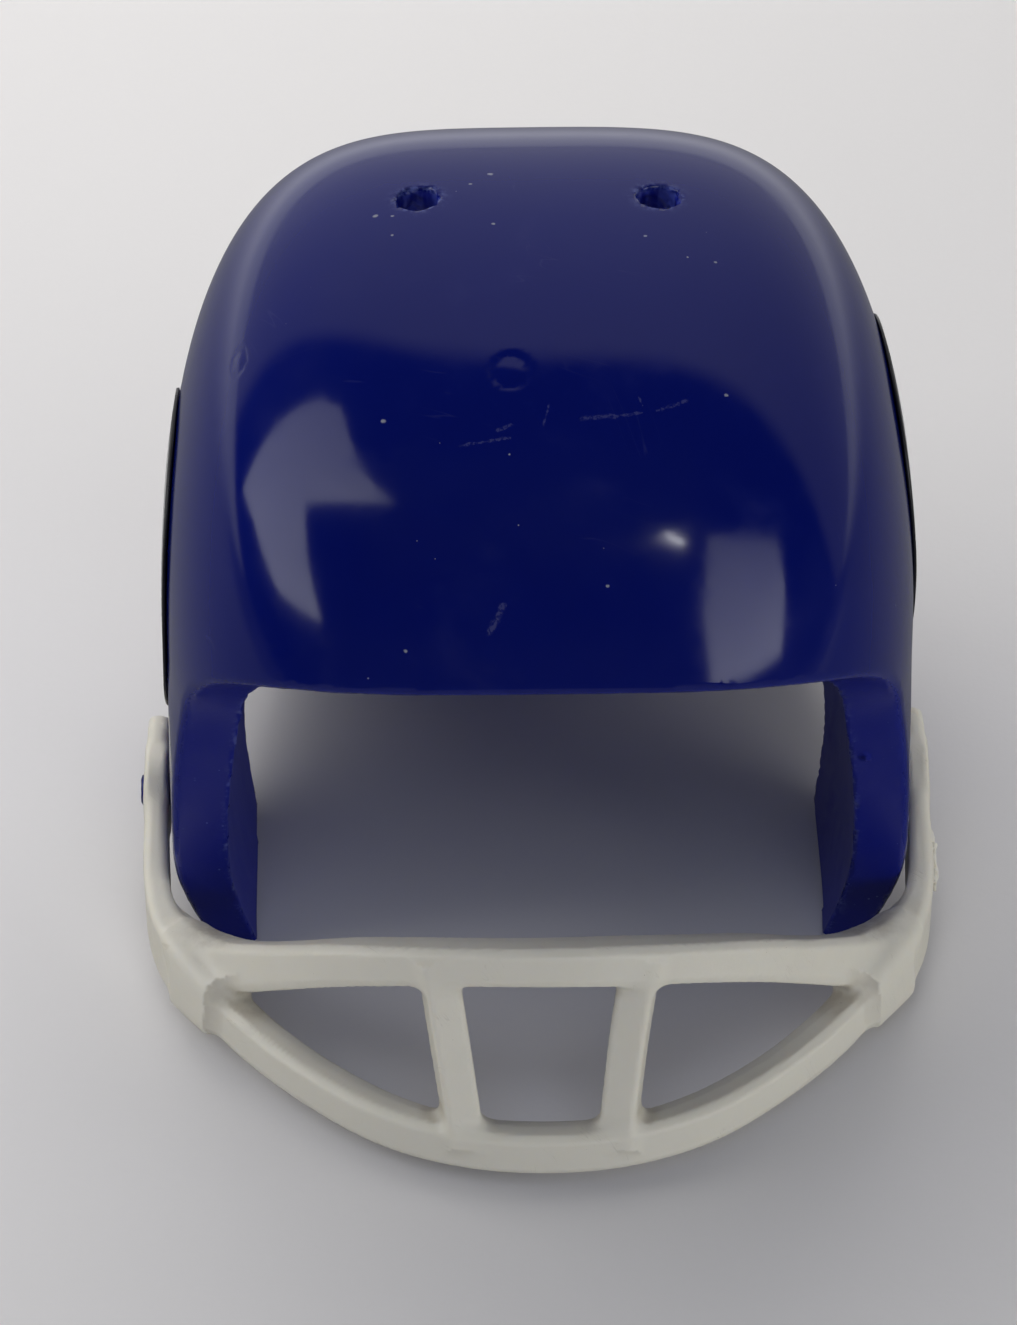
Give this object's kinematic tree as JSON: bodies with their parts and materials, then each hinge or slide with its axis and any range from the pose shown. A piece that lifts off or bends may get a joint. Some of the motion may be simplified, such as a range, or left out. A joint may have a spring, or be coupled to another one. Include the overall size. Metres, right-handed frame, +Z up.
{
  "type": "miniature football helmet",
  "caption": "Miniature moulded toy football helmet: a one-piece dome shell with vent holes and side pegs, and a clip-on faceguard that tilts on the pegs.",
  "frame": {"origin": "on the resting plane, in the middle of the bounding box seen from above", "axes": "+Z up, -Y the way the face looks, +X to the right as seen by someone facing the faceguard"},
  "size_m": [0.0406, 0.0502, 0.0376],
  "materials": {
    "shell_plastic": "glossy moulded dark blue plastic, scratched and dusty",
    "guard_plastic": "soft off-white moulded plastic with brown grime in the corners",
    "decal_print": "printed adhesive film with a black edge"
  },
  "bodies": {
    "shell_body": {"shell": "shell_plastic", "decal_left": "decal_print", "decal_right": "decal_print"},
    "guard_body": {"faceguard": "guard_plastic"}
  },
  "joints": [
    {"name": "faceguard_tilt", "type": "hinge", "parent": "shell_body", "child": "guard_body", "pos_m": [0, -0.00166, 0.005], "axis": [-1, 0, 0], "range_deg": [0, 25]}
  ]
}
